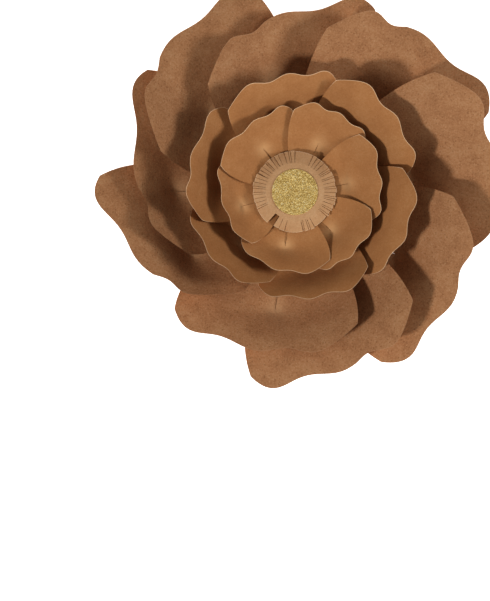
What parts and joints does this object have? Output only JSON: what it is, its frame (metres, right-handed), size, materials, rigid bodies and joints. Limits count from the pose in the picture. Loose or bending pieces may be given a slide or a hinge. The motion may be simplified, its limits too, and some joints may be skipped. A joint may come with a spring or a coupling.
{
  "type": "giant paper flower",
  "caption": "Large layered paper flower: overlapping rings of cupped, wavy-edged kraft card petals round a fringed disc and a gold glitter disc, glued on a flat back disc.",
  "frame": {"origin": "middle of the back disc's flat underside, which is the flower's back", "axes": "+Z out of the flower's face, along its axis; +X and +Y across it, with the clock angles of the petals counted clockwise from +Y"},
  "size_m": [0.3102, 0.3086, 0.0533],
  "materials": {
    "outer_card": "rough recycled kraft card with dark and pale flecks",
    "petal_card": "smooth warm tan kraft card with pale cut edges",
    "centre_card": "smooth light tan kraft card, cut into a fringe",
    "glitter_card": "fine gold glitter on card, sparkling",
    "backing_board": "plain grey-brown cardboard, cut edge"
  },
  "bodies": {
    "root": {"back_disc": "backing_board", "middle_base_disc": "backing_board", "inner_base_disc": "backing_board", "outer_petal_1": "outer_card", "outer_petal_2": "outer_card", "outer_petal_3": "outer_card", "outer_petal_4": "outer_card", "outer_petal_5": "outer_card", "outer_petal_6": "outer_card", "outer_petal_7": "outer_card", "outer_petal_8": "outer_card", "outer_petal_9": "outer_card", "middle_petal_1": "petal_card", "middle_petal_2": "petal_card", "middle_petal_3": "petal_card", "middle_petal_4": "petal_card", "middle_petal_5": "petal_card", "middle_petal_6": "petal_card", "inner_petal_1": "petal_card", "inner_petal_2": "petal_card", "inner_petal_3": "petal_card", "inner_petal_4": "petal_card", "inner_petal_5": "petal_card", "inner_petal_6": "petal_card", "fringed_disc": "centre_card", "gold_disc": "glitter_card"}
  },
  "joints": []
}
